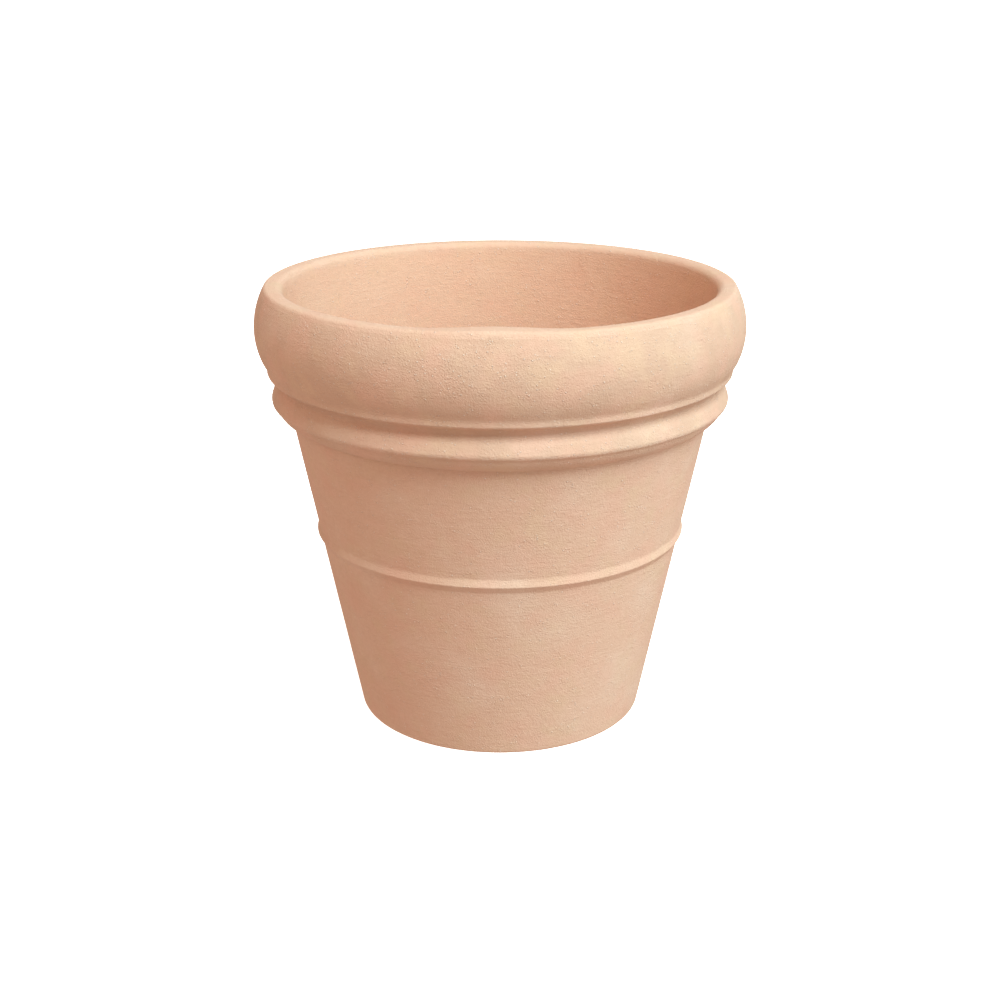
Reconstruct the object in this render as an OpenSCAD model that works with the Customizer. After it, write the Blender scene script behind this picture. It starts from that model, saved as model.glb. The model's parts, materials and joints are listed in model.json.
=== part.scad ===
// Terracotta floor pot with a rolled rim, built up from clay members.
// Millimetres, +Z up, origin at the centre of the underside.
// Every band stands on the straight wall line, so its size is given as how far it stands proud.
// Heights of the rim's parts are measured down from the crown, the others up from the underside.

/* [Body] */
// Outside diameter at the underside
base_d = 301; // [240:1:380]
// Overall height, underside to the highest point of the crown
pot_h = 460; // [410:1:560]
// Lean of the wall away from upright, in degrees
wall_lean = 11.3; // [5:0.1:16]
// Thickness of the wall, square to its face
wall_t = 21; // [18:0.5:28]
// Thickness of the base slab
base_t = 25; // [18:1:36]
// Bore of the drain hole
drain_d = 35; // [16:1:60]
// Round of the underside's outer edge
foot_round = 3; // [1:0.5:8]
// Height and width of the coil pressed into the corner between wall and floor
coil = 15; // [5:1:30]

/* [Seams] */
// Fall of each bevelled seam, from the inner face of the wall to the outer face
seam_fall = 6; // [2:0.5:9]

/* [Cordon] */
// Height of the cordon's lower edge above the underside
cordon_z = 199.5; // [120:0.5:230]
// How far the lower edge stands proud of the wall
cordon_proud = 3; // [2:0.1:6]
// Reach of the cordon's hollow underside below its edge
cordon_below = 7; // [5:0.5:14]
// Reach of the cordon's rounded top above its edge
cordon_above = 6.5; // [5:0.5:16]
// Round of the cordon's lower edge
cordon_edge = 1; // [0.5:0.1:2]

/* [Collar] */
// Drop from the crown to the fullest line of the collar
collar_drop = 115; // [110:1:127]
// How far the fullest line stands proud of the wall
collar_proud = 15.5; // [12:0.5:22]
// Height of the upright face below the fullest line
collar_face = 5; // [3:0.5:9]
// Height of the slanted underside
collar_slant = 18.5; // [12:0.5:26]
// Round between the slanted underside and the upright face
collar_edge = 1.5; // [0.5:0.1:2.5]

/* [Groove] */
// Drop from the crown to the bottom of the groove
groove_drop = 101; // [98:0.5:105]
// How far the bottom of the groove stands proud of the wall
groove_proud = 5.6; // [2:0.2:7]

/* [Rim] */
// Drop from the crown to the lower edge of the bead
bead_drop = 88; // [85:0.5:91]
// How far the bead stands proud of the wall
bead_proud = 13.6; // [10:0.1:16]
// Height of the bead
bead_h = 7; // [4:0.5:9]
// Round of the bead's lower edge
bead_edge = 0.8; // [0.4:0.1:1.6]
// Swell of the bead's face
bead_swell = 0.6; // [0.3:0.1:1.2]
// Depth of the crease between bead and roll, from the bead's face
crease_depth = 1.4; // [0.6:0.1:3]
// Height over which the roll flares out of the crease
crease_flare = 1.5; // [0.5:0.1:4]
// Drop from the crown to the fullest line of the roll
roll_drop = 44.5; // [38:0.5:52]
// How far the roll stands proud of the wall
roll_proud = 16.6; // [13:0.5:24]
// Drop from the crown to the line where the roll runs out into the wall
roll_top_drop = 7.5; // [6:0.5:14]
// Width of the rounded outer corner of the crown
crown_corner = 5.5; // [3:0.5:8]
// Round of the mouth's inner edge
mouth_round = 8.5; // [3:0.5:9]

/* [Hidden] */

// Colour of the dry fired clay
clay = "#DFB496";
// Faces round the axis, and points along the rounded stretches of an outline
$fn = 128;
arc_steps = 6;
swell_steps = 14;
// Rise of an arc as a share of what it rounds over: outwards for an edge or a full face, inwards for a hollow
full_rise = 0.25;
hollow_rise = -0.15;
// Overshoot of a cutting tool past the face it cuts
past = 1;

// Outer and inner radius of the straight wall at height z
function outer(z) = base_d / 2 + z * tan(wall_lean);
function inner(z) = outer(z) - wall_t / cos(wall_lean);
// Point at height z that stands proud of the wall line
function on_wall(z, proud = 0) = [outer(z) + proud, z];
// Point at height z on the wall's inner face
function in_wall(z) = [inner(z), z];

// Unit vector at angle a
function turn(a) = [cos(a), sin(a)];

// Arc from p to q, without p itself. It bulges by rise to the right of travel, or hollows below zero.
function arc_between(p, q, rise) =
    let (chord = q - p, span = norm(chord), side = [chord.y, -chord.x] / span)
    let (depth = abs(rise), r = (span * span / 4 + depth * depth) / (2 * depth))
    let (centre = (p + q) / 2 - side * sign(rise) * (r - depth))
    let (half = asin(span / 2 / r), middle = atan2(side.y, side.x) + (rise < 0 ? 180 : 0))
    [for (i = [1:arc_steps]) centre + r * turn(middle + sign(rise) * half * (2 * i / arc_steps - 1))];

// Arc that stands upright at its fullest point and runs to end, with both points
function swell(full, end) =
    let (back = full.x - end.x, rise = end.y - full.y)
    let (r = (back * back + rise * rise) / (2 * back))
    let (sweep = atan2(rise, r - back))
    [for (i = [0:swell_steps]) full - [r, 0] + r * turn(sweep * i / swell_steps)];

function reversed(points) = [for (i = [len(points) - 1:-1:0]) points[i]];

// Heights that several members share. The cordon and the collar each cover a seam of the wall.
slab_edge_z = base_t - seam_fall;
mid_seam_z = cordon_z;
collar_z = pot_h - collar_drop;
collar_low_z = collar_z - collar_face;
upper_seam_z = collar_low_z;
groove_z = pot_h - groove_drop;
bead_z = pot_h - bead_drop;
crease_z = bead_z + bead_h;
roll_z = pot_h - roll_drop;
roll_top_z = pot_h - roll_top_drop;

// Each bevelled seam as its outer and inner point, and the points that two bands share
slab_seam = [on_wall(slab_edge_z), in_wall(base_t)];
mid_seam = [on_wall(mid_seam_z), in_wall(mid_seam_z + seam_fall)];
upper_seam = [on_wall(upper_seam_z), in_wall(upper_seam_z + seam_fall)];
groove = on_wall(groove_z, groove_proud);
crease = on_wall(crease_z, bead_proud - crease_depth);

module turned(outline) {
    rotate_extrude() polygon(outline);
}

// Round slab: rounded foot, wall line up to the bevelled shoulder, one drain hole
module base_slab() {
    foot = [base_d / 2 - foot_round, 0];
    color(clay) difference() {
        turned(concat(
            [[0, 0], foot],
            arc_between(foot, on_wall(foot_round), full_rise * foot_round),
            slab_seam,
            [[0, base_t]]
        ));
        translate([0, 0, -past]) cylinder(d = drain_d, h = base_t + 2 * past);
    }
}

// Coil of clay pressed into the corner between slab and wall, wiped to a hollow face
module corner_coil() {
    top = in_wall(base_t + coil);
    toe = slab_seam[1] - [coil, 0];
    color(clay) turned(concat([slab_seam[1], top], arc_between(top, toe, hollow_rise * coil)));
}

// First wall course, from its bevelled seat on the slab to the seam that the cordon covers
module lower_course() {
    color(clay) turned([slab_seam[0], mid_seam[0], mid_seam[1], slab_seam[1]]);
}

// Second wall course, between the two bevelled seams that the bands cover
module upper_course() {
    color(clay) turned([mid_seam[0], upper_seam[0], upper_seam[1], mid_seam[1]]);
}

// Third wall course, up to the rounded crown and mouth
module rim_course() {
    roll_top = on_wall(roll_top_z);
    crown_edge = [roll_top.x - crown_corner, pot_h];
    mouth_z = pot_h - mouth_round;
    mouth_centre = [inner(mouth_z) + mouth_round / cos(wall_lean), mouth_z];
    mouth_sweep = 90 - wall_lean;
    color(clay) turned(concat(
        [upper_seam[0], roll_top],
        arc_between(roll_top, crown_edge, full_rise * crown_corner),
        [for (i = [0:arc_steps]) mouth_centre + mouth_round * turn(90 + mouth_sweep * i / arc_steps)],
        [upper_seam[1]]
    ));
}

// Band over the middle seam: hollow underside, rounded lower edge, full top
module cordon() {
    foot = on_wall(cordon_z - cordon_below);
    under_proud = cordon_proud - cordon_edge / 2;
    under_edge = on_wall(cordon_z - cordon_edge, under_proud);
    over_edge = on_wall(cordon_z + cordon_edge, cordon_proud);
    head = on_wall(cordon_z + cordon_above);
    color(clay) turned(concat(
        [foot],
        arc_between(foot, under_edge, hollow_rise * under_proud),
        arc_between(under_edge, over_edge, full_rise * cordon_edge),
        arc_between(over_edge, head, full_rise * cordon_proud)
    ));
}

// Heavy band over the upper seam: slanted underside, upright face, shoulder into the groove
module collar() {
    full = on_wall(collar_z, collar_proud);
    corner = [full.x, collar_low_z];
    foot = on_wall(collar_low_z - collar_slant);
    slant = (corner - foot) / norm(corner - foot);
    slant_top = corner - collar_edge * slant;
    color(clay) turned(concat(
        [foot, slant_top],
        arc_between(slant_top, corner + [0, collar_edge], full_rise * collar_edge),
        swell(full, groove),
        [on_wall(groove_z)]
    ));
}

// Bead under the roll: hollow underside from the groove, rounded edge, full face, crease above
module rim_bead() {
    under_edge = on_wall(bead_z - bead_edge, bead_proud - bead_edge);
    over_edge = on_wall(bead_z + bead_edge, bead_proud);
    color(clay) turned(concat(
        [on_wall(groove_z), groove],
        arc_between(groove, under_edge, hollow_rise * (bead_proud - groove_proud)),
        arc_between(under_edge, over_edge, full_rise * bead_edge),
        arc_between(over_edge, crease, bead_swell),
        [on_wall(crease_z)]
    ));
}

// Thick half-round roll round the rim course, from the crease to the crown's corner
module rim_roll() {
    full = on_wall(roll_z, roll_proud);
    flare = on_wall(crease_z + crease_flare, bead_proud + crease_depth / 2);
    color(clay) turned(concat(
        [on_wall(crease_z), crease],
        reversed(swell(full, flare)),
        swell(full, on_wall(roll_top_z))
    ));
}

base_slab();
corner_coil();
lower_course();
upper_course();
rim_course();
cordon();
collar();
rim_bead();
rim_roll();
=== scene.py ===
"""Large terracotta floor pot with a rolled rim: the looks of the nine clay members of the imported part.

Lengths are millimetres in the dataclasses and metres in Blender. A point is (radius, height).
"""
import json
import logging
import math
from abc import ABC, abstractmethod
from dataclasses import dataclass, field
from enum import Enum

import bpy
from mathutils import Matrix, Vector


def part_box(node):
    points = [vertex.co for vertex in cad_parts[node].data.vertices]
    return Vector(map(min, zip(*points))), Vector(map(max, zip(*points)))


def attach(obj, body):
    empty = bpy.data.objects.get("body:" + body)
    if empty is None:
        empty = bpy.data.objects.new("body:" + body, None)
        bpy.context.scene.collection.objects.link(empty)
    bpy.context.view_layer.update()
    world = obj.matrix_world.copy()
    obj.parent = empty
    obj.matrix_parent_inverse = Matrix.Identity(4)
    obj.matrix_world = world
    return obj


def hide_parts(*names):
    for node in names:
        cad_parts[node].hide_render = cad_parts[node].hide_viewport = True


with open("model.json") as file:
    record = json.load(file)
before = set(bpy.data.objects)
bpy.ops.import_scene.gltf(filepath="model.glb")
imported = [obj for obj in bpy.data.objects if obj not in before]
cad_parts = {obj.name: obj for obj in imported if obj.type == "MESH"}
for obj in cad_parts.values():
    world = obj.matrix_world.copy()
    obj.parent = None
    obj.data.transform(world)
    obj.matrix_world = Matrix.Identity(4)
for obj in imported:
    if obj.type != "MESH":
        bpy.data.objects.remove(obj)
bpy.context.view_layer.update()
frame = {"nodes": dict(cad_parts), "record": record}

MM = 0.001
BODY = "root"
# Sockets of the Mix node for colours, which share their names with its other sockets
MIX_A, MIX_B, MIX_OUT = 6, 7, 2
# Two points this close are the same, in millimetres
SAME = 0.01
# A corner that is this nearly straight keeps its point, in radians
STRAIGHT = 0.01
# Turn between two points of a round, in degrees
ARC_STEP = 6

Point = tuple[float, float]
Corner = tuple[float, float, float]
Path = list[Point]
Tree = bpy.types.NodeTree
Socket = bpy.types.NodeSocket
log = logging.getLogger("pot")


class Slot(Enum):
    """Material slots of the part."""

    BASE = "terracotta_base"
    WALL = "terracotta_wall"
    BAND = "terracotta_band"


def linear(hex_colour: str) -> tuple[float, float, float, float]:
    """Turn an sRGB hex colour into linear RGBA.

    Args:
        hex_colour: colour such as "#E0B090".

    Returns:
        Red, green, blue and an alpha of one.
    """
    shares = [int(hex_colour[i:i + 2], 16) / 255 for i in (1, 3, 5)]
    red, green, blue = (s / 12.92 if s <= 0.04045 else ((s + 0.055) / 1.055) ** 2.4 for s in shares)
    return red, green, blue, 1.0


def add(tree: Tree, kind: str, values: dict | None = None, **settings: object) -> bpy.types.Node:
    """Add a node with its settings, values and links.

    Args:
        tree: node tree that the node goes into.
        kind: type name of the node.
        values: number, colour or source socket by input name or index.
        settings: attributes of the node.

    Returns:
        The new node.
    """
    node = tree.nodes.new(kind)
    for name, value in settings.items():
        setattr(node, name, value)
    for key, value in (values or {}).items():
        if isinstance(value, Socket):
            tree.links.new(value, node.inputs[key])
        else:
            node.inputs[key].default_value = value
    return node


def soften(before: Point, corner: Point, after: Point, radius: float, share: float = 0.49) -> Path:
    """Round one corner of a path with an arc that touches both sides.

    Args:
        before: point that the path comes from.
        corner: the corner itself.
        after: point that the path goes to.
        radius: radius of the arc, limited by the shorter side.
        share: most of a side that the arc may take.

    Returns:
        Points of the arc, or the corner alone where there is nothing to round.
    """
    centre = Vector(corner)
    back, ahead = Vector(before) - centre, Vector(after) - centre
    inside = back.angle(ahead)
    if radius <= 0 or math.pi - inside < STRAIGHT:
        return [corner]
    reach = min(radius / math.tan(inside / 2), share * back.length, share * ahead.length)
    radius = reach * math.tan(inside / 2)
    start, end = centre + back.normalized() * reach, centre + ahead.normalized() * reach
    hub = centre + (back.normalized() + ahead.normalized()).normalized() * radius / math.sin(inside / 2)
    turn = (end - hub).angle_signed(start - hub)
    count = max(2, math.ceil(abs(math.degrees(turn)) / ARC_STEP))
    first = math.atan2(start.y - hub.y, start.x - hub.x)
    angles = [first + turn * i / count for i in range(count + 1)]
    return [(hub.x + radius * math.cos(a), hub.y + radius * math.sin(a)) for a in angles]


def softened(corners: list[Corner], closed: bool = False) -> Path:
    """Round the corners of a path.

    Args:
        corners: radius, height and rounding of each corner.
        closed: whether the path runs back to its first corner. An open path keeps its ends.

    Returns:
        The path with arcs in place of its corners.
    """
    ring = [corners[-1], *corners, corners[0]] if closed else corners
    path = [] if closed else [corners[0][:2]]
    for before, corner, after in zip(ring, ring[1:], ring[2:]):
        path += soften(before[:2], corner[:2], after[:2], corner[2])
    return path if closed else path + [corners[-1][:2]]


def swell(full: Point, end: Point, count: int = 24) -> Path:
    """Arc that stands upright at its fullest point and runs to an end above or below it.

    Args:
        full: point where the face is fullest.
        end: last point of the arc.
        count: steps of the arc.

    Returns:
        Points from the fullest one to the end.
    """
    back, rise = full[0] - end[0], end[1] - full[1]
    radius = (back * back + rise * rise) / (2 * back)
    sweep = math.atan2(rise, radius - back)
    angles = [sweep * i / count for i in range(count + 1)]
    return [(full[0] - radius + radius * math.cos(a), full[1] + radius * math.sin(a)) for a in angles]


def filled(outline: Path, longest: float) -> Path:
    """Set more points into the long runs of a closed outline.

    Args:
        outline: closed outline, without its first point again at the end.
        longest: longest distance between two neighbours.

    Returns:
        The outline with all its own points kept.
    """
    out = []
    for a, b in zip(outline, outline[1:] + outline[:1]):
        count = max(1, math.ceil(math.dist(a, b) / longest))
        out += [tuple(Vector(a).lerp(Vector(b), i / count)) for i in range(count)]
    return out


def worn(path: Path, wear: float, step: float = 0.5) -> Path:
    """Wear the creases and edges of a path, as a wet sponge does.

    Args:
        path: open path.
        wear: distance over which each point is averaged with its neighbours.
        step: distance between the points that come back.

    Returns:
        The smoothed path, with its ends where they were.
    """
    runs = [math.dist(a, b) for a, b in zip(path, path[1:])]
    count = math.ceil(sum(runs) / step)
    spacing = sum(runs) / count
    dense, at, gone = [path[0]], 0, 0.0
    for i in range(1, count):
        while gone + runs[at] < i * spacing:
            gone += runs[at]
            at += 1
        dense.append(tuple(Vector(path[at]).lerp(Vector(path[at + 1]), (i * spacing - gone) / runs[at])))
    dense.append(path[-1])

    # Neighbours past twice the wear would hardly count
    reach = math.ceil(2 * wear / spacing)
    weights = [math.exp(-0.5 * (i * spacing / wear) ** 2) for i in range(-reach, reach + 1)]
    out = dense[:reach]
    for i in range(reach, len(dense) - reach):
        near = dense[i - reach:i + reach + 1]
        out.append(tuple(sum(w * p[k] for w, p in zip(weights, near)) / sum(weights) for k in (0, 1)))
    return out + dense[-reach:]


def thinned(path: Path, longest: float, turn: float = 4.0) -> Path:
    """Drop the points that a path can do without.

    Args:
        path: open path of many points.
        longest: longest distance between two points that are kept.
        turn: degrees that the path may bend between two points that are kept.

    Returns:
        The path with its ends and the points that its bends need.
    """
    out = [path[0]]
    heading = Vector(path[1]) - Vector(path[0])
    for point, after in zip(path[1:-1], path[2:]):
        ahead = Vector(after) - Vector(point)
        if math.degrees(heading.angle(ahead)) > turn or math.dist(after, out[-1]) > longest:
            out.append(point)
            heading = ahead
    return out + [path[-1]]


def rise_between(path: Path, low: float, high: float) -> Path:
    """Cut the stretch of a rising path between two heights.

    Args:
        path: open path whose points only rise near the two heights.
        low: height of the first cut.
        high: height of the second cut.

    Returns:
        The stretch, with a point on each cut.
    """
    out = []
    for a, b in zip(path, path[1:]):
        for cut in (low, high):
            if a[1] < cut <= b[1] and not (cut == high and not out):
                share = (cut - a[1]) / (b[1] - a[1])
                out.append((a[0] + share * (b[0] - a[0]), cut))
        if out and out[-1][1] == high:
            return out
        if out and b[1] > low:
            out.append(b)
    return out


@dataclass(frozen=True)
class WallLine:
    """The straight tapered wall that every member stands on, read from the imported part."""

    foot_r: float
    slope: float
    across: float
    seam_fall: float
    heights: dict[str, tuple[float, float]]

    @classmethod
    def from_frame(cls) -> "WallLine":
        """Read the wall from the boxes of the CAD nodes.

        Returns:
            The wall line, in millimetres.
        """
        boxes = {name: [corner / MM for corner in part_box(name)] for name in frame["nodes"]}
        heights = {name: (low.z, high.z) for name, (low, high) in boxes.items()}
        mid = Vector((boxes["lower_course"][1].x, heights["upper_course"][0]))
        top = Vector((boxes["upper_course"][1].x, heights["rim_course"][0]))
        slope = (top.x - mid.x) / (top.y - mid.y)
        foot_r = mid.x - slope * mid.y
        return cls(
            foot_r=foot_r,
            slope=slope,
            across=foot_r + slope * heights["corner_coil"][1] - boxes["corner_coil"][1].x,
            seam_fall=heights["lower_course"][1] - heights["upper_course"][0],
            heights=heights,
        )

    def on(self, z: float, proud: float = 0.0) -> Point:
        """Return the point at a height that stands proud of the outer face."""
        return self.foot_r + self.slope * z + proud, z

    def inside(self, z: float) -> Point:
        """Return the point at a height on the inner face."""
        return self.foot_r - self.across + self.slope * z, z

    def seam(self, z: float) -> Path:
        """Return the outer and inner point of a bevelled seam by its outer height."""
        return [self.on(z), self.inside(z + self.seam_fall)]


@dataclass(frozen=True)
class Pattern:
    """Soft patches of noise in the clay, of a real width and relief.

    They fade in between the noise levels low and high. The shift sets a pattern apart from the others, and
    the detail is the number of finer octaves along the edges.
    """

    shift: float
    width: float
    low: float
    high: float
    detail: float = 2.0
    relief: float = 0.0


@dataclass(frozen=True)
class Terracotta:
    """Unglazed terracotta, pressed by hand, wiped with a sponge and fired to a dry matte surface.

    It scatters light almost evenly. Its iron gives the orange, and lime drawn out by water the pale bloom.
    """

    name: str
    slot: Slot
    # Body of the clay, its pinker and sandier patches, the lime bloom and the wet-wiped darker streaks
    clay: str = "#D4AC90"
    pink: str = "#D5A78C"
    sand: str = "#D2AD8D"
    bloom: str = "#DBBEA5"
    streak: str = "#BF9276"
    # Pale grog grains, and the shade in the pits that dropped grains leave
    grog: str = "#E1CFBC"
    pit: str = "#A7795C"
    # The inside, painted redder as painted bounce light, the warm light that the clay throws about within the
    # pot, and the rubbed underside
    painted_bounce: str = "#D8A380"
    foot: str = "#C49D81"
    # How strongly each of them colours the clay where it lies
    patch_cover: float = 0.8
    bloom_cover: float = 0.42
    streak_cover: float = 0.12
    sponge_cover: float = 0.18
    grog_cover: float = 0.5
    pit_cover: float = 0.05
    chip_cover: float = 0.15
    painted_bounce_cover: float = 0.45
    foot_cover: float = 0.7
    # Depths below the crown where the inside's painted bounce light starts and is full, and heights for the
    # underside's
    painted_bounce_fade: Point = (3.0, 14.0)
    foot_fade: Point = (3.0, 0.5)
    # Patches of colour, and the marks of hands, of the sponge and of its strokes
    pink_patch: Pattern = Pattern(1, 40.0, 0.42, 0.66, 5)
    sand_patch: Pattern = Pattern(2, 28.0, 0.46, 0.70, 5)
    bloom_patch: Pattern = Pattern(3, 75.0, 0.45, 0.75, 5)
    wiping: Pattern = Pattern(4, 2.6, 0.35, 0.75, 3, relief=0.10)
    dents: Pattern = Pattern(8, 15.0, 0.25, 0.75, relief=0.12)
    sponging: Pattern = Pattern(9, 5.0, 0.25, 0.75, relief=0.08)
    # Wiped streaks are so many times as long as they are high
    wipe_stretch: float = 9.0
    # Rough clusters on the surface. The noise level of their edge sinks as they cover more of it.
    cluster: float = 14.0
    cluster_cover: float = 0.55
    cluster_level: float = 0.62
    cluster_sink: float = 0.24
    cluster_fade: float = 0.18
    # Grain and grit are finer than this on the real pot: drawn as coarse as they need to show
    rough: Pattern = Pattern(6, 1.69, 0.30, 0.70, relief=0.22)
    grain: Pattern = Pattern(7, 1.3, 0.25, 0.75, 1, relief=0.22)
    grit: float = 2.3
    # Share of the grains that show within the clusters, and how many of those show outside them
    grit_cover: float = 0.42
    grit_stray: float = 0.12
    # Distances from the middle of its cell where a grain starts and is full
    grit_fade: Point = (0.42, 0.20)
    grit_relief: float = 0.45
    pit_relief: float = 0.10
    # Heights of the edges that hands and transport chip, and how far the chips reach from each
    edges: tuple[float, ...] = ()
    edge_reach: float = 2.5
    chips: Pattern = Pattern(10, 3.5, 0.46, 0.58, 3, relief=-0.10)
    roughness: float = 0.93
    ior: float = 1.45
    seed: float = 3.0

    def patches(self, tree: Tree, place: Socket, pattern: Pattern) -> Socket:
        """Draw soft patches of a real width.

        Args:
            tree: material's node tree.
            place: coordinates of the pattern.
            pattern: width, levels, shift and detail of the patches.

        Returns:
            Socket that is zero between the patches and one within them.
        """
        scale = 1 / (pattern.width * MM)
        noise = add(
            tree, "ShaderNodeTexNoise",
            {"Vector": place, "W": self.seed + pattern.shift, "Scale": scale, "Detail": pattern.detail},
            noise_dimensions="4D",
        )
        level = add(
            tree, "ShaderNodeMapRange",
            {"Value": noise.outputs["Fac"], "From Min": pattern.low, "From Max": pattern.high},
            interpolation_type="SMOOTHSTEP",
        )
        return level.outputs["Result"]

    def regions(self, tree: Tree, place: Socket, wall: WallLine) -> tuple[Socket, Socket]:
        """Tell the inside and the underside of the pot from the rest.

        Args:
            tree: material's node tree.
            place: coordinates on the pot.
            wall: wall line, whose middle parts the inside from the outside.

        Returns:
            Sockets with how much of the inside's painted bounce light and of the underside's colour shows.
        """
        axes = add(tree, "ShaderNodeSeparateXYZ", {0: place}).outputs
        flat = add(tree, "ShaderNodeCombineXYZ", {0: axes["X"], 1: axes["Y"]}).outputs[0]
        radius = add(tree, "ShaderNodeVectorMath", {0: flat}, operation="LENGTH").outputs["Value"]
        depth = add(
            tree, "ShaderNodeMath", {0: axes["Z"], 1: -wall.slope, 2: radius}, operation="MULTIPLY_ADD"
        ).outputs[0]
        inner = wall.foot_r - wall.across
        middle = inner + wall.across / 2
        # Redder painted bounce light on the inner face, fading in from the middle of the wall
        behind = add(
            tree, "ShaderNodeMapRange",
            {"Value": depth, "From Min": middle * MM, "From Max": inner * MM, "To Max": self.painted_bounce_cover},
            interpolation_type="SMOOTHSTEP",
        ).outputs["Result"]
        crown = wall.heights["rim_course"][1]
        start, full = (crown - down for down in self.painted_bounce_fade)
        below = add(
            tree, "ShaderNodeMapRange", {"Value": axes["Z"], "From Min": start * MM, "From Max": full * MM}
        ).outputs["Result"]
        inside = add(tree, "ShaderNodeMath", {0: behind, 1: below}, operation="MULTIPLY").outputs[0]
        start, full = self.foot_fade
        under = add(
            tree, "ShaderNodeMapRange",
            {"Value": axes["Z"], "From Min": start * MM, "From Max": full * MM, "To Max": self.foot_cover},
        ).outputs["Result"]
        return inside, under

    def specks(self, tree: Tree, place: Socket, cluster: Socket) -> list[Socket]:
        """Scatter grog grains and pits, most of them within the rough clusters.

        Args:
            tree: material's node tree.
            place: coordinates of the pattern.
            cluster: socket that is one within the rough clusters.

        Returns:
            Sockets that are one on a grain and on a pit.
        """
        cells = add(
            tree, "ShaderNodeTexVoronoi",
            {"Vector": place, "W": self.seed, "Scale": 1 / (self.grit * MM)}, voronoi_dimensions="4D",
        )
        start, full = self.grit_fade
        dot = add(
            tree, "ShaderNodeMapRange",
            {"Value": cells.outputs["Distance"], "From Min": start, "From Max": full},
            interpolation_type="SMOOTHSTEP",
        ).outputs["Result"]
        spread = add(
            tree, "ShaderNodeMapRange", {"Value": cluster, "To Min": self.grit_stray}
        ).outputs["Result"]
        likely = add(
            tree, "ShaderNodeMath", {0: spread, 1: self.grit_cover}, operation="MULTIPLY"
        ).outputs[0]
        dice = add(tree, "ShaderNodeSeparateColor", {0: cells.outputs["Color"]})
        marks = []
        for channel in ("Red", "Green"):
            picked = add(
                tree, "ShaderNodeMath", {0: dice.outputs[channel], 1: likely}, operation="LESS_THAN"
            ).outputs[0]
            marks.append(add(tree, "ShaderNodeMath", {0: picked, 1: dot}, operation="MULTIPLY").outputs[0])
        return marks

    def rubbed(self, tree: Tree, place: Socket) -> Socket:
        """Scatter pale chips along the edges that stand out.

        Args:
            tree: material's node tree.
            place: coordinates on the pot.

        Returns:
            Socket that is one on a chip.
        """
        height = add(tree, "ShaderNodeSeparateXYZ", {0: place}).outputs["Z"]
        nearest = 0.0
        for edge in self.edges:
            off = add(tree, "ShaderNodeMath", {0: height, 1: edge * MM}, operation="SUBTRACT").outputs[0]
            away = add(tree, "ShaderNodeMath", {0: off}, operation="ABSOLUTE").outputs[0]
            near = add(
                tree, "ShaderNodeMapRange", {"Value": away, "From Min": self.edge_reach * MM, "From Max": 0.0}
            ).outputs["Result"]
            nearest = add(tree, "ShaderNodeMath", {0: nearest, 1: near}, operation="MAXIMUM").outputs[0]
        chips = self.patches(tree, place, self.chips)
        return add(tree, "ShaderNodeMath", {0: nearest, 1: chips}, operation="MULTIPLY").outputs[0]

    def material(self, wall: WallLine) -> bpy.types.Material:
        """Build the node material.

        Args:
            wall: wall line, which tells the inside of the pot from the outside.

        Returns:
            The material.
        """
        made = bpy.data.materials.new(self.name)
        made.use_nodes = True
        tree = made.node_tree
        tree.nodes.clear()
        place = add(tree, "ShaderNodeTexCoord").outputs["Object"]
        drawn = (1 / self.wipe_stretch, 1 / self.wipe_stretch, 1)
        wiped = add(tree, "ShaderNodeVectorMath", {0: place, 1: drawn}, operation="MULTIPLY").outputs[0]

        inside, under = self.regions(tree, place, wall)
        edge = self.cluster_level - self.cluster_sink * self.cluster_cover
        clusters = Pattern(5, self.cluster, edge, edge + self.cluster_fade, 3)
        streaks = self.patches(tree, wiped, self.wiping)
        cluster = self.patches(tree, place, clusters)
        rough = self.patches(tree, place, self.rough)
        grain = self.patches(tree, place, self.grain)
        dents = self.patches(tree, place, self.dents)
        sponged = self.patches(tree, place, self.sponging)
        grit, pits = self.specks(tree, place, cluster)
        chips = self.rubbed(tree, place)

        # The inside's painted bounce light and the underside bring their own shares
        colour = linear(self.clay)
        for over, amount, share in (
            (self.pink, self.patch_cover, self.patches(tree, place, self.pink_patch)),
            (self.sand, self.patch_cover, self.patches(tree, place, self.sand_patch)),
            (self.bloom, self.bloom_cover, self.patches(tree, place, self.bloom_patch)),
            (self.painted_bounce, 1.0, inside), (self.foot, 1.0, under), (self.streak, self.streak_cover, streaks),
            (self.streak, self.sponge_cover, sponged), (self.grog, self.grog_cover, grit),
            (self.pit, self.pit_cover, pits), (self.grog, self.chip_cover, chips),
        ):
            cover = add(tree, "ShaderNodeMath", {0: share, 1: amount}, operation="MULTIPLY").outputs[0]
            colour = add(
                tree, "ShaderNodeMix", {0: cover, MIX_A: colour, MIX_B: linear(over)}, data_type="RGBA"
            ).outputs[MIX_OUT]

        height = 0.0
        rough = add(tree, "ShaderNodeMath", {0: cluster, 1: rough}, operation="MULTIPLY").outputs[0]
        for pattern, relief in (
            (dents, self.dents.relief), (sponged, self.sponging.relief), (streaks, self.wiping.relief),
            (grain, self.grain.relief), (rough, self.rough.relief), (grit, self.grit_relief),
            (pits, -self.pit_relief), (chips, self.chips.relief),
        ):
            height = add(
                tree, "ShaderNodeMath", {0: pattern, 1: relief, 2: height}, operation="MULTIPLY_ADD"
            ).outputs[0]
        bump = add(tree, "ShaderNodeBump", {"Height": height, "Distance": MM, "Strength": 1.0})
        shader = add(
            tree, "ShaderNodeBsdfPrincipled",
            {"Base Color": colour, "Roughness": self.roughness, "IOR": self.ior, "Normal": bump.outputs[0]},
        )
        add(tree, "ShaderNodeOutputMaterial", {"Surface": shader.outputs[0]})
        return made


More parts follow.
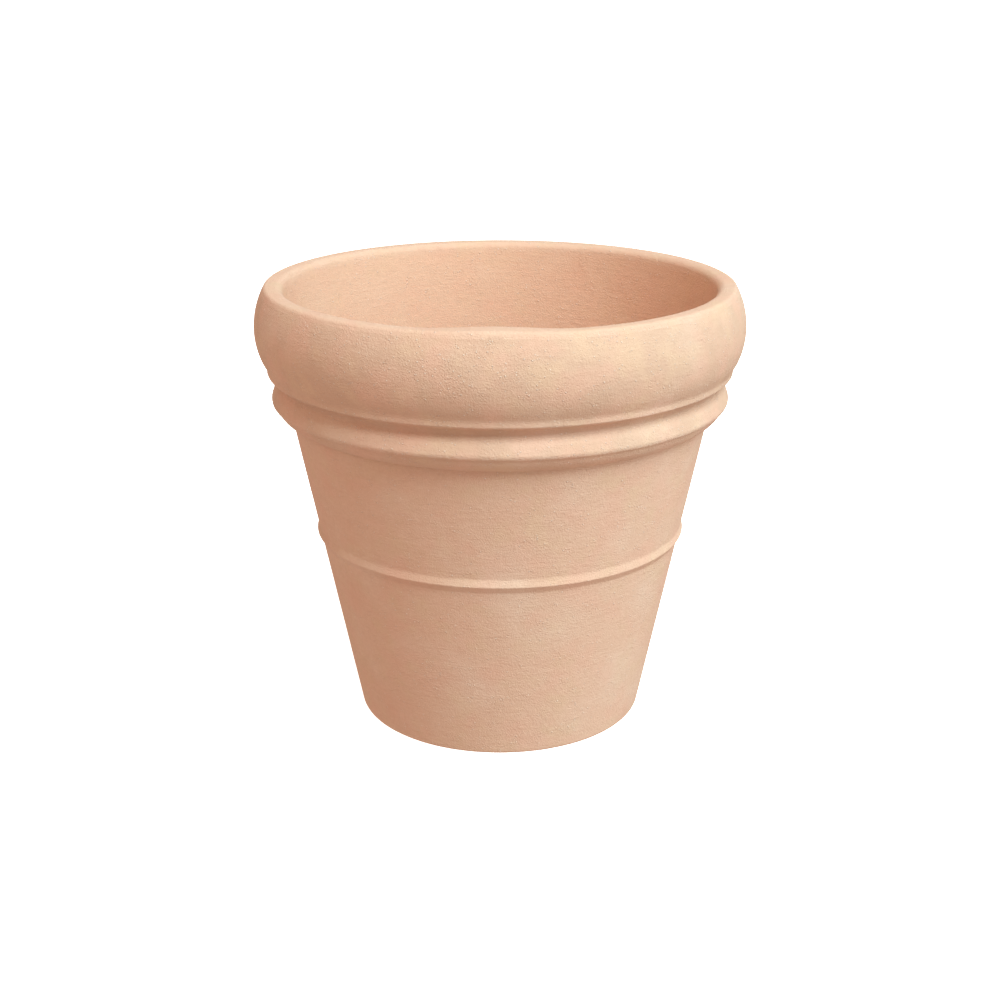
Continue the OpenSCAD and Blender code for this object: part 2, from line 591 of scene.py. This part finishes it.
@dataclass(frozen=True)
class Lip:
    """Front of the mouth, which a thumb flattened, pushed in and drew up."""

    # Middle of the place to the right of the axis, how far it was drawn up and pushed in, and half its width
    centre: float = -4.0
    rise: float = 2.0
    swell: float = 9.5
    half_width: float = 80.0
    # Depths below the crown to which the two are felt
    rise_reach: float = 12.0
    swell_reach: float = 40.0


@dataclass(frozen=True)
class Wheel:
    """Turns an outline round the pot's axis and gives it the small errors of hand-pressed clay."""

    wall: WallLine
    lip: Lip = Lip()
    segments: int = 720
    # Size and width of the slow errors of the wheel and of the ripples that fingers leave
    wander: float = 0.7
    wander_width: float = 85.0
    ripple: float = 0.16
    ripple_width: float = 26.0
    seed: int = 11

    @property
    def crown(self) -> float:
        """Return the height of the crown away from the lip that is drawn up."""
        return self.wall.heights["rim_course"][1] - self.lip.rise

    def inputs(self) -> dict[str, tuple[str, object]]:
        """Return the socket type and value of each named input of the tree, in metres."""
        wall, lip = self.wall, self.lip
        lengths = {
            "Turning Radius": wall.foot_r, "Inner Radius": wall.foot_r - wall.across,
            "Wander": self.wander, "Wander Width": self.wander_width,
            "Ripple": self.ripple, "Ripple Width": self.ripple_width,
            "Middle": (self.wander + self.ripple) / 2,
            "Lip Centre": lip.centre, "Lip Half Width": lip.half_width,
            "Lip Rise": lip.rise, "Lip Swell": lip.swell,
            "Crown": self.crown, "Lip Rise From": self.crown - lip.rise_reach,
            "Lip Swell From": self.crown - lip.swell_reach,
        }
        named = {name: ("NodeSocketFloat", value * MM) for name, value in lengths.items()}
        named["Taper Taken Away"] = ("NodeSocketFloat", -wall.slope)
        named["Segments"] = ("NodeSocketInt", self.segments)
        named["Seed"] = ("NodeSocketInt", self.seed)
        return named

    def tree(self) -> Tree:
        """Build the Geometry Nodes tree.

        Returns:
            The tree, which takes the outline and gives the finished clay.
        """
        tree = bpy.data.node_groups.new("turned_clay", "GeometryNodeTree")
        tree.interface.new_socket("Outline", in_out="INPUT", socket_type="NodeSocketGeometry")
        for name, (kind, _) in self.inputs().items():
            tree.interface.new_socket(name, in_out="INPUT", socket_type=kind)
        tree.interface.new_socket("Clay", in_out="INPUT", socket_type="NodeSocketMaterial")
        tree.interface.new_socket("Turned", in_out="OUTPUT", socket_type="NodeSocketGeometry")
        given = add(tree, "NodeGroupInput").outputs

        # The outline is drawn in the XZ plane, and the circle carries a profile in its own XY plane
        back = add(tree, "ShaderNodeMath", {0: given["Turning Radius"], 1: -1.0}, operation="MULTIPLY")
        shift = add(tree, "ShaderNodeCombineXYZ", {"X": back.outputs[0]})
        laid = add(tree, "GeometryNodeTransform", {
            "Geometry": given["Outline"], "Translation": shift.outputs[0], "Rotation": (math.pi / 2, 0, 0),
        })
        profile = add(tree, "GeometryNodeMeshToCurve", {"Mesh": laid.outputs[0]})
        circle = add(tree, "GeometryNodeCurvePrimitiveCircle", {
            "Resolution": given["Segments"], "Radius": given["Turning Radius"],
        })
        turned = add(tree, "GeometryNodeCurveToMesh", {
            "Curve": circle.outputs[0], "Profile Curve": profile.outputs[0],
        })
        outward = add(tree, "GeometryNodeFlipFaces", {"Mesh": turned.outputs[0]})

        # Radial direction, and the distance from the axis less the taper
        here = add(tree, "GeometryNodeInputPosition").outputs[0]
        axes = add(tree, "ShaderNodeSeparateXYZ", {0: here}).outputs
        flat = add(tree, "ShaderNodeCombineXYZ", {0: axes["X"], 1: axes["Y"]}).outputs[0]
        radial = add(tree, "ShaderNodeVectorMath", {0: flat}, operation="NORMALIZE").outputs[0]
        radius = add(tree, "ShaderNodeVectorMath", {0: flat}, operation="LENGTH").outputs["Value"]
        depth = add(tree, "ShaderNodeMath", {
            0: axes["Z"], 1: given["Taper Taken Away"], 2: radius,
        }, operation="MULTIPLY_ADD").outputs[0]

        # Front of the mouth: how far a place takes part in the rise and in the push inwards
        off = add(tree, "ShaderNodeMath", {
            0: axes["X"], 1: given["Lip Centre"],
        }, operation="SUBTRACT").outputs[0]
        side = add(tree, "ShaderNodeMath", {0: off}, operation="ABSOLUTE").outputs[0]
        front = add(tree, "ShaderNodeMath", {0: axes["Y"], 1: 0.0}, operation="LESS_THAN").outputs[0]
        near = (side, given["Lip Half Width"], 0.0)
        through = (depth, given["Turning Radius"], given["Inner Radius"])
        shares = []
        for fades in (
            (near, (axes["Z"], given["Lip Rise From"], given["Crown"])),
            (near, (axes["Z"], given["Lip Swell From"], given["Lip Rise From"]), through),
        ):
            share = front
            for value, start, end in fades:
                fade = add(tree, "ShaderNodeMapRange", {
                    "Value": value, "From Min": start, "From Max": end,
                }, interpolation_type="SMOOTHSTEP")
                share = add(tree, "ShaderNodeMath", {
                    0: share, 1: fade.outputs[0],
                }, operation="MULTIPLY").outputs[0]
            shares.append(share)

        # Everything that pushes the clay inwards: the lip, a slow wander of the wall and a short ripple
        raised, pushed = shares
        inward = add(tree, "ShaderNodeMath", {
            0: pushed, 1: given["Lip Swell"],
        }, operation="MULTIPLY").outputs[0]
        for name in ("Wander", "Ripple"):
            scale = add(tree, "ShaderNodeMath", {0: 1.0, 1: given[f"{name} Width"]}, operation="DIVIDE")
            noise = add(tree, "ShaderNodeTexNoise", {
                "Vector": here, "W": given["Seed"], "Scale": scale.outputs[0], "Detail": 1.0,
            }, noise_dimensions="4D")
            inward = add(tree, "ShaderNodeMath", {
                0: noise.outputs["Fac"], 1: given[name], 2: inward,
            }, operation="MULTIPLY_ADD").outputs[0]
        # The errors swing to both sides of the true form
        outwards = add(tree, "ShaderNodeMath", {
            0: given["Middle"], 1: inward,
        }, operation="SUBTRACT").outputs[0]
        across = add(tree, "ShaderNodeVectorMath", {
            0: radial, "Scale": outwards,
        }, operation="SCALE").outputs[0]
        lift = add(tree, "ShaderNodeMath", {
            0: raised, 1: given["Lip Rise"],
        }, operation="MULTIPLY").outputs[0]
        upward = add(tree, "ShaderNodeCombineXYZ", {"Z": lift}).outputs[0]
        offset = add(tree, "ShaderNodeVectorMath", {0: across, 1: upward}, operation="ADD").outputs[0]

        moved = add(tree, "GeometryNodeSetPosition", {"Geometry": outward.outputs[0], "Offset": offset})
        smooth = add(tree, "GeometryNodeSetShadeSmooth", {"Geometry": moved.outputs[0]})
        real = add(tree, "GeometryNodeRealizeInstances", {"Geometry": smooth.outputs[0]})
        clad = add(tree, "GeometryNodeSetMaterial", {"Geometry": real.outputs[0], "Material": given["Clay"]})
        add(tree, "NodeGroupOutput", {"Turned": clad.outputs[0]})
        return tree

    def turn(self, name: str, outline: Path, clay: bpy.types.Material) -> bpy.types.Object:
        """Turn one closed outline into a clay member.

        Args:
            name: name of the CAD node that the member stands for.
            outline: closed outline, anticlockwise, without its first point again at the end.
            clay: material of the member.

        Returns:
            The member, as a plain mesh.
        """
        sketch = bpy.data.meshes.new(name + "_outline")
        points = [(r * MM, 0.0, z * MM) for r, z in outline]
        edges = [(i, (i + 1) % len(points)) for i in range(len(points))]
        sketch.from_pydata(points, edges, [])
        blank = bpy.data.objects.new(name + "_outline", sketch)
        bpy.context.scene.collection.objects.link(blank)
        modifier = blank.modifiers.new("Turn", "NODES")
        modifier.node_group = bpy.data.node_groups.get("turned_clay") or self.tree()
        values = {key: value for key, (_, value) in self.inputs().items()} | {"Clay": clay}
        for socket in modifier.node_group.interface.items_tree:
            if socket.in_out == "INPUT" and socket.name in values:
                modifier[socket.identifier] = values[socket.name]
        shape = blank.evaluated_get(bpy.context.evaluated_depsgraph_get())
        mesh = bpy.data.meshes.new_from_object(shape)
        mesh.name = name
        bpy.data.objects.remove(blank)
        bpy.data.meshes.remove(sketch)
        member = bpy.data.objects.new(name + "_clay", mesh)
        bpy.context.scene.collection.objects.link(member)
        return member


@dataclass(frozen=True)
class Profile:
    """Outer face of everything above the upper wall, from the collar's foot over the crown to the mouth."""

    wall: WallLine
    crown: float
    # Collar: lower corner before it is rounded, and the crease pressed in under its edge
    collar_low: float = 341.4
    collar_proud: float = 17.2
    collar_edge: float = 5.4
    crease_along: float = 4.2
    crease_wide: float = 2.0
    crease_deep: float = 0.5
    # Rounds of the crease's lower edge and of its bottom
    crease_edge: float = 1.0
    crease_foot: float = 0.6
    # Fullest place of the collar's underside before it is rounded
    under_z: float = 327.8
    under_proud: float = 10.9
    under_round: float = 30.0
    under_share: float = 0.95
    foot_z: float = 323.8
    # Shoulder between the collar and the groove, the groove, and the bead with its undercut
    shoulder_z: float = 352.8
    shoulder_proud: float = 11.0
    shoulder_round: float = 14.0
    groove_z: float = 361.3
    groove_proud: float = 3.9
    groove_round: float = 2.5
    undercut_z: float = 367.2
    undercut_proud: float = 6.2
    undercut_round: float = 2.5
    bead_low: float = 371.2
    bead_proud: float = 13.9
    bead_round: float = 1.4
    # Crease where the roll runs out over the bead
    crease_z: float = 376.9
    crease_proud: float = 12.8
    crease_round: float = 10.0
    # Roll: fullest line, and the line where it leaves the crease
    roll_full: float = 415.5
    roll_proud: float = 16.3
    flare_z: float = 380.5
    flare_proud: float = 14.3
    # First steps of the roll's arc, which give way to the round of the crease
    flare_steps: int = 4
    crown_round: float = 10.0
    mouth_round: float = 8.5
    # Lengths of plain wall before the collar's foot and after the mouth
    wall_before: float = 20.0
    wall_after: float = 30.0
    wear: float = 0.7

    def contour(self) -> Path:
        """Draw the whole outer face.

        Returns:
            Dense path from the wall below the collar to the inner face of the wall.
        """
        wall = self.wall
        roll_top = wall.heights["rim_roll"][1]
        foot, corner = Vector(wall.on(self.foot_z)), Vector(wall.on(self.collar_low, self.collar_proud))
        slant = (corner - foot).normalized()
        into = Vector((-slant.y, slant.x))
        crease = corner - slant * (self.crease_along + self.crease_wide / 2) + into * self.crease_deep
        below = corner - slant * (self.crease_along + self.crease_wide)
        under = wall.on(self.under_z, self.under_proud)
        edge_foot = corner - slant * self.crease_along
        shoulder = wall.on(self.shoulder_z, self.shoulder_proud)
        roll = wall.on(self.roll_full, self.roll_proud)
        lower = swell(roll, wall.on(self.flare_z, self.flare_proud))
        upper = swell(roll, wall.on(roll_top))
        head = [
            (*wall.on(self.foot_z - self.wall_before), 0), (*foot, 0),
            *((*p, 0) for p in soften(foot, under, below, self.under_round, share=self.under_share)),
            (*below, self.crease_edge), (*crease, self.crease_foot),
            *((*p, 0) for p in soften(edge_foot, corner, shoulder, self.collar_edge, share=1.0)),
            (*shoulder, self.shoulder_round),
            (*wall.on(self.groove_z, self.groove_proud), self.groove_round),
            (*wall.on(self.undercut_z, self.undercut_proud), self.undercut_round),
            (*wall.on(self.bead_low, self.bead_proud), self.bead_round),
            (*wall.on(self.crease_z, self.crease_proud), self.crease_round),
        ]
        head += [(*p, 0) for p in reversed(lower[:-self.flare_steps])]
        head += [(*p, 0) for p in upper[1:]]
        top = Vector(upper[-1])
        ahead = (top - Vector(upper[-2])).normalized()
        crown_edge = top + ahead * (self.crown - top.y) / ahead.y
        mouth, end = wall.inside(self.crown), wall.inside(self.crown - self.wall_after)
        head += [(*crown_edge, self.crown_round), (*mouth, self.mouth_round), (*end, 0)]
        return worn(softened(head), self.wear)


@dataclass(kw_only=True)
class ClayWork(ABC):
    """Group of clay members that are turned on one wheel and share a finish."""

    wheel: Wheel
    finish: Terracotta
    # Longest distance between two points of an outline, and the angle from which an edge stays crisp
    step: float = 5.0
    crisp: float = 35.0

    @abstractmethod
    def outlines(self) -> dict[str, Path]:
        """Return the closed outline of each member by its CAD node."""

    def build(self) -> dict[str, bpy.types.Object]:
        """Turn the members.

        Returns:
            The members by the CAD nodes that they stand for.
        """
        clay = bpy.data.materials.get(self.finish.name) or self.finish.material(self.wheel.wall)
        return {
            node: self.wheel.turn(node, filled(outline, self.step), clay)
            for node, outline in self.outlines().items()
        }

    def dress(self, members: dict[str, bpy.types.Object]) -> None:
        """Set the members on the body, in place of their CAD nodes, with their crisp edges, and log their
        finish.

        Args:
            members: the members by the CAD nodes that they stand for.
        """
        for node, member in members.items():
            member.data.set_sharp_from_angle(angle=math.radians(self.crisp))
            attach(member, BODY)
            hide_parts(node)
            log.info("%s in %s: %d faces", member.name, self.finish.name, len(member.data.polygons))


@dataclass(kw_only=True)
class Base(ClayWork):
    """Round base slab with its drain hole."""

    foot_round: float = 3.5
    hole_round: float = 2.0
    hole_r: float = field(default_factory=lambda: frame["record"]["mounts"][0]["dims"]["r_mm"])

    def outlines(self) -> dict[str, Path]:
        """Outline the slab, with its rounded foot and its bevelled shoulder.

        Returns:
            Closed outline by CAD node.
        """
        wall = self.wheel.wall
        outer, inner = wall.seam(wall.heights["lower_course"][0])
        return {"base_slab": softened([
            (self.hole_r, 0.0, self.hole_round), (*wall.on(0), self.foot_round),
            (*outer, 0), (*inner, 0), (self.hole_r, wall.heights["base_slab"][1], self.hole_round),
        ], closed=True)}


@dataclass(kw_only=True)
class Wall(ClayWork):
    """Corner coil and the two wall courses below the rim."""

    def outlines(self) -> dict[str, Path]:
        """Outline the coil and the courses between their bevelled seams.

        Returns:
            Closed outlines by CAD node.
        """
        wall = self.wheel.wall
        courses = ("lower_course", "upper_course", "rim_course")
        base, mid, top = (wall.seam(wall.heights[name][0]) for name in courses)
        corner, coil_top = base[1], wall.inside(wall.heights["corner_coil"][1])
        toe = (corner[0] - math.dist(coil_top, corner), corner[1])
        return {
            "corner_coil": [corner, *soften(coil_top, corner, toe, math.inf, share=1.0)],
            "lower_course": [base[0], *mid, base[1]],
            "upper_course": [mid[0], *top, mid[1]],
        }


@dataclass(kw_only=True)
class Crown(ClayWork):
    """Last wall course, behind the bands of the rim, with the crown and the mouth at its top."""

    profile: Profile

    def outlines(self) -> dict[str, Path]:
        """Outline the course from its bevelled seam over the crown and back down the inside.

        Returns:
            Closed outline by CAD node.
        """
        wall = self.wheel.wall
        outer, inner = wall.seam(wall.heights["rim_course"][0])
        bead_top, roll_top = (wall.heights[name][1] for name in ("rim_bead", "rim_roll"))
        contour = self.profile.contour()
        seat = rise_between(contour, bead_top, roll_top)[-1]
        start = next(i for i, point in enumerate(contour) if point[1] > roll_top)
        return {"rim_course": [outer, *thinned([seat, *contour[start:]], self.step), inner]}


@dataclass(kw_only=True)
class Cordon(ClayWork):
    """Thin raised band over the middle seam: hollow underside, worn edge and a slanted top."""

    step: float = 3.0
    proud: float = 3.4
    edge_z: float = 199.4
    edge_round: float = 1.1
    foot_round: float = 3.0
    shoulder_z: float = 203.2
    shoulder_proud: float = 1.5
    shoulder_round: float = 6.0
    # How far the corner at the band's top lies above the node before it is rounded
    head_over: float = 1.0
    head_round: float = 6.0
    # Lengths of plain wall that the path takes along below the band and above it
    wall_below: float = 12.0
    wall_above: float = 16.0
    # How far past its face the band's back runs on the wall
    lap: float = 0.5
    wear: float = 0.4

    def outlines(self) -> dict[str, Path]:
        """Outline the band, which runs out into the wall at its top and foot.

        Returns:
            Closed outline by CAD node.
        """
        wall = self.wheel.wall
        low, high = wall.heights["cordon"]
        path = worn(softened([
            (*wall.on(low - self.wall_below), 0), (*wall.on(low), self.foot_round),
            (*wall.on(self.edge_z, self.proud), self.edge_round),
            (*wall.on(self.shoulder_z, self.shoulder_proud), self.shoulder_round),
            (*wall.on(high + self.head_over), self.head_round), (*wall.on(high + self.wall_above), 0),
        ]), self.wear)
        face = [p for p in thinned(path, self.step) if p[0] - wall.on(p[1])[0] > SAME]
        foot, head = wall.on(face[0][1] - self.lap), wall.on(face[-1][1] + self.lap)
        return {"cordon": [foot, *face, head]}


@dataclass(kw_only=True)
class Head(ClayWork):
    """Collar, bead and roll, cut from the one outer face."""

    profile: Profile
    step: float = 3.0

    def outlines(self) -> dict[str, Path]:
        """Outline the three bands, each with its back on the wall.

        Returns:
            Closed outlines by CAD node.
        """
        wall = self.wheel.wall
        contour = self.profile.contour()
        bands = {}
        for name in ("collar", "rim_bead", "rim_roll"):
            low, high = wall.heights[name]
            # The collar runs out into the wall a little above the foot of its node
            low = max(low, self.profile.foot_z - self.profile.wear)
            face = thinned(rise_between(contour, low, high), self.step)
            ends = ((wall.on(high), face[-1]), (wall.on(low), face[0]))
            bands[name] = face + [back for back, front in ends if math.dist(back, front) > SAME]
        return bands


@dataclass(frozen=True)
class Lamp:
    """Round soft lamp that points at the pot.

    Its place is given in degrees to the right of the camera and above the horizon, its width in degrees
    as the pot sees it, and its light as the brightness of a white sheet that faces it.
    """

    name: str
    side: float
    up: float
    wide: float
    light: float
    colour: str
    far: float = 9000.0
    aim: float = 300.0

    def hang(self) -> None:
        """Hang the lamp in the scene."""
        data = bpy.data.lights.new(self.name, "AREA")
        data.shape = "DISK"
        data.size = 2 * self.far * MM * math.tan(math.radians(self.wide / 2))
        data.energy = self.light * (math.pi * self.far * MM) ** 2
        data.color = linear(self.colour)[:3]
        lamp = bpy.data.objects.new(self.name, data)
        side, up = math.radians(self.side), math.radians(self.up)
        way = Vector((math.sin(side) * math.cos(up), -math.cos(side) * math.cos(up), math.sin(up)))
        lamp.location = way * self.far * MM + Vector((0, 0, self.aim * MM))
        lamp.rotation_euler = way.to_track_quat("Z", "Y").to_euler()
        bpy.context.scene.collection.objects.link(lamp)


@dataclass
class Studio:
    """Pale floor, soft warm room light, three large soft lamps and the camera."""

    # Camera: distance from the pot's axis, height above the floor, tilt below the horizon and lens
    distance: float = 1603.43
    height: float = 776.65
    tilt: float = 19.0917
    lens: float = 57.4005
    lamps: tuple[Lamp, ...] = (
        Lamp("key", side=40.0, up=50.0, wide=34.0, light=1.53, colour="#D7F3FF"),
        Lamp("side", side=70.0, up=15.0, wide=50.0, light=0.49, colour="#D7F3FF"),
        Lamp("fill", side=-60.0, up=35.0, wide=50.0, light=0.35, colour="#FFE9DE"),
    )
    # Light of the room: warm from walls and ceiling, and what a pale floor throws back from below
    room: str = "#FFE9DE"
    room_above: float = 0.43
    room_below: float = 0.51
    # More light from well below, and the slopes of the view between which the kinds of light blend
    room_deep: float = 0.42
    horizon: float = 0.3
    deepest: float = -0.8
    # White paper on the floor, which rises in a slant all round, and its own glow
    floor: str = "#F7F5F2"
    floor_glow: float = 1.1
    floor_sides: int = 64
    floor_r: float = 12000.0
    floor_slant: float = 5000.0
    floor_rise: float = 9000.0

    def stage(self) -> None:
        """Lay the floor, whose own glow keeps it white right up to the pot, as in the photo."""
        mesh = bpy.data.meshes.new("floor")
        rings = ((self.floor_r, 0.0), (self.floor_r + self.floor_slant, self.floor_rise))
        turns = [math.tau * i / self.floor_sides for i in range(self.floor_sides)]
        corners = [Vector((r * math.cos(a), r * math.sin(a), z)) * MM for r, z in rings for a in turns]
        first = list(range(self.floor_sides))
        ahead = first[1:] + first[:1]
        slants = [(i, j, self.floor_sides + j, self.floor_sides + i) for i, j in zip(first, ahead)]
        mesh.from_pydata(corners, [], [first, *slants])
        floor = bpy.data.objects.new("floor", mesh)
        bpy.context.scene.collection.objects.link(floor)
        paper = bpy.data.materials.new("white_studio_paper")
        paper.use_nodes = True
        tree = paper.node_tree
        tree.nodes.clear()
        shader = add(tree, "ShaderNodeBsdfPrincipled", {
            "Base Color": linear(self.floor), "Roughness": 1.0, "Specular IOR Level": 0.0,
            "Emission Color": linear(self.floor), "Emission Strength": self.floor_glow,
        })
        add(tree, "ShaderNodeOutputMaterial", {"Surface": shader.outputs[0]})
        mesh.materials.append(paper)
        # The room light from below stands for what such a floor would throw back
        floor.visible_diffuse = False
        floor.visible_glossy = False
        floor.visible_shadow = False

    def light(self) -> None:
        """Light the room and hang the lamps."""
        world = bpy.data.worlds.new("soft_room")
        world.use_nodes = True
        tree = world.node_tree
        tree.nodes.clear()
        up = add(tree, "ShaderNodeSeparateXYZ", {0: add(tree, "ShaderNodeTexCoord").outputs["Generated"]})
        strength = add(tree, "ShaderNodeMapRange", {
            "Value": up.outputs["Z"], "From Min": -self.horizon, "From Max": self.horizon,
            "To Min": self.room_below, "To Max": self.room_above,
        }).outputs["Result"]
        deep = add(tree, "ShaderNodeMapRange", {
            "Value": up.outputs["Z"], "From Min": -self.horizon, "From Max": self.deepest,
            "To Max": self.room_deep,
        }).outputs["Result"]
        total = add(tree, "ShaderNodeMath", {0: strength, 1: deep}, operation="ADD").outputs[0]
        shade = add(tree, "ShaderNodeBackground", {"Color": linear(self.room), "Strength": total})
        add(tree, "ShaderNodeOutputWorld", {"Surface": shade.outputs[0]})
        bpy.context.scene.world = world
        for lamp in self.lamps:
            lamp.hang()

    def camera(self) -> None:
        """Set the camera in front of the pot, looking slightly down."""
        data = bpy.data.cameras.new("camera")
        data.lens = self.lens
        eye = bpy.data.objects.new("camera", data)
        eye.location = (0.0, -self.distance * MM, self.height * MM)
        eye.rotation_euler = (math.radians(90 - self.tilt), 0.0, 0.0)
        bpy.context.scene.collection.objects.link(eye)
        bpy.context.scene.camera = eye

    def build(self) -> None:
        """Set up the floor, the lights, the camera and the plain tone of the picture."""
        self.stage()
        self.light()
        self.camera()
        bpy.context.scene.view_settings.view_transform = "Standard"


def main() -> None:
    """Build the pot and its studio."""
    logging.basicConfig(level=logging.INFO, format="%(name)s: %(message)s")
    Studio().build()
    wall = WallLine.from_frame()
    wheel = Wheel(wall)
    profile = Profile(wall, wheel.crown)
    # The rim's bands and the crown take less pale bloom, and the bands a darker clay: painted shade that
    # tones down the strong light on them. The bands are rougher with chipped edges, and the cordon is rubbed
    # smooth
    slab = Terracotta("sponged_terracotta_base", Slot.BASE)
    walls = Terracotta("sponged_terracotta_wall", Slot.WALL)
    # Less pale bloom on the crown: painted shade against the strong light on its top
    crown = Terracotta("sponged_terracotta_crown", Slot.WALL, bloom_cover=0.3)
    # Darker clay and less bloom on the bands: painted shade against the strong light on them
    bands = Terracotta(
        "sponged_terracotta_band", Slot.BAND, clay="#CAA488", cluster_cover=0.85, bloom_cover=0.3,
        edges=(profile.collar_low, profile.bead_low),
    )
    strip = Terracotta("rubbed_terracotta_band", Slot.BAND, clay="#D0A88C", cluster_cover=0.2)
    faces = 0
    for work in (
        Base(wheel=wheel, finish=slab), Wall(wheel=wheel, finish=walls), Cordon(wheel=wheel, finish=strip),
        Crown(wheel=wheel, finish=crown, profile=profile), Head(wheel=wheel, finish=bands, profile=profile),
    ):
        members = work.build()
        work.dress(members)
        faces += sum(len(member.data.polygons) for member in members.values())
    log.info("%d faces in all", faces)


if __name__ == "__main__":
    main()
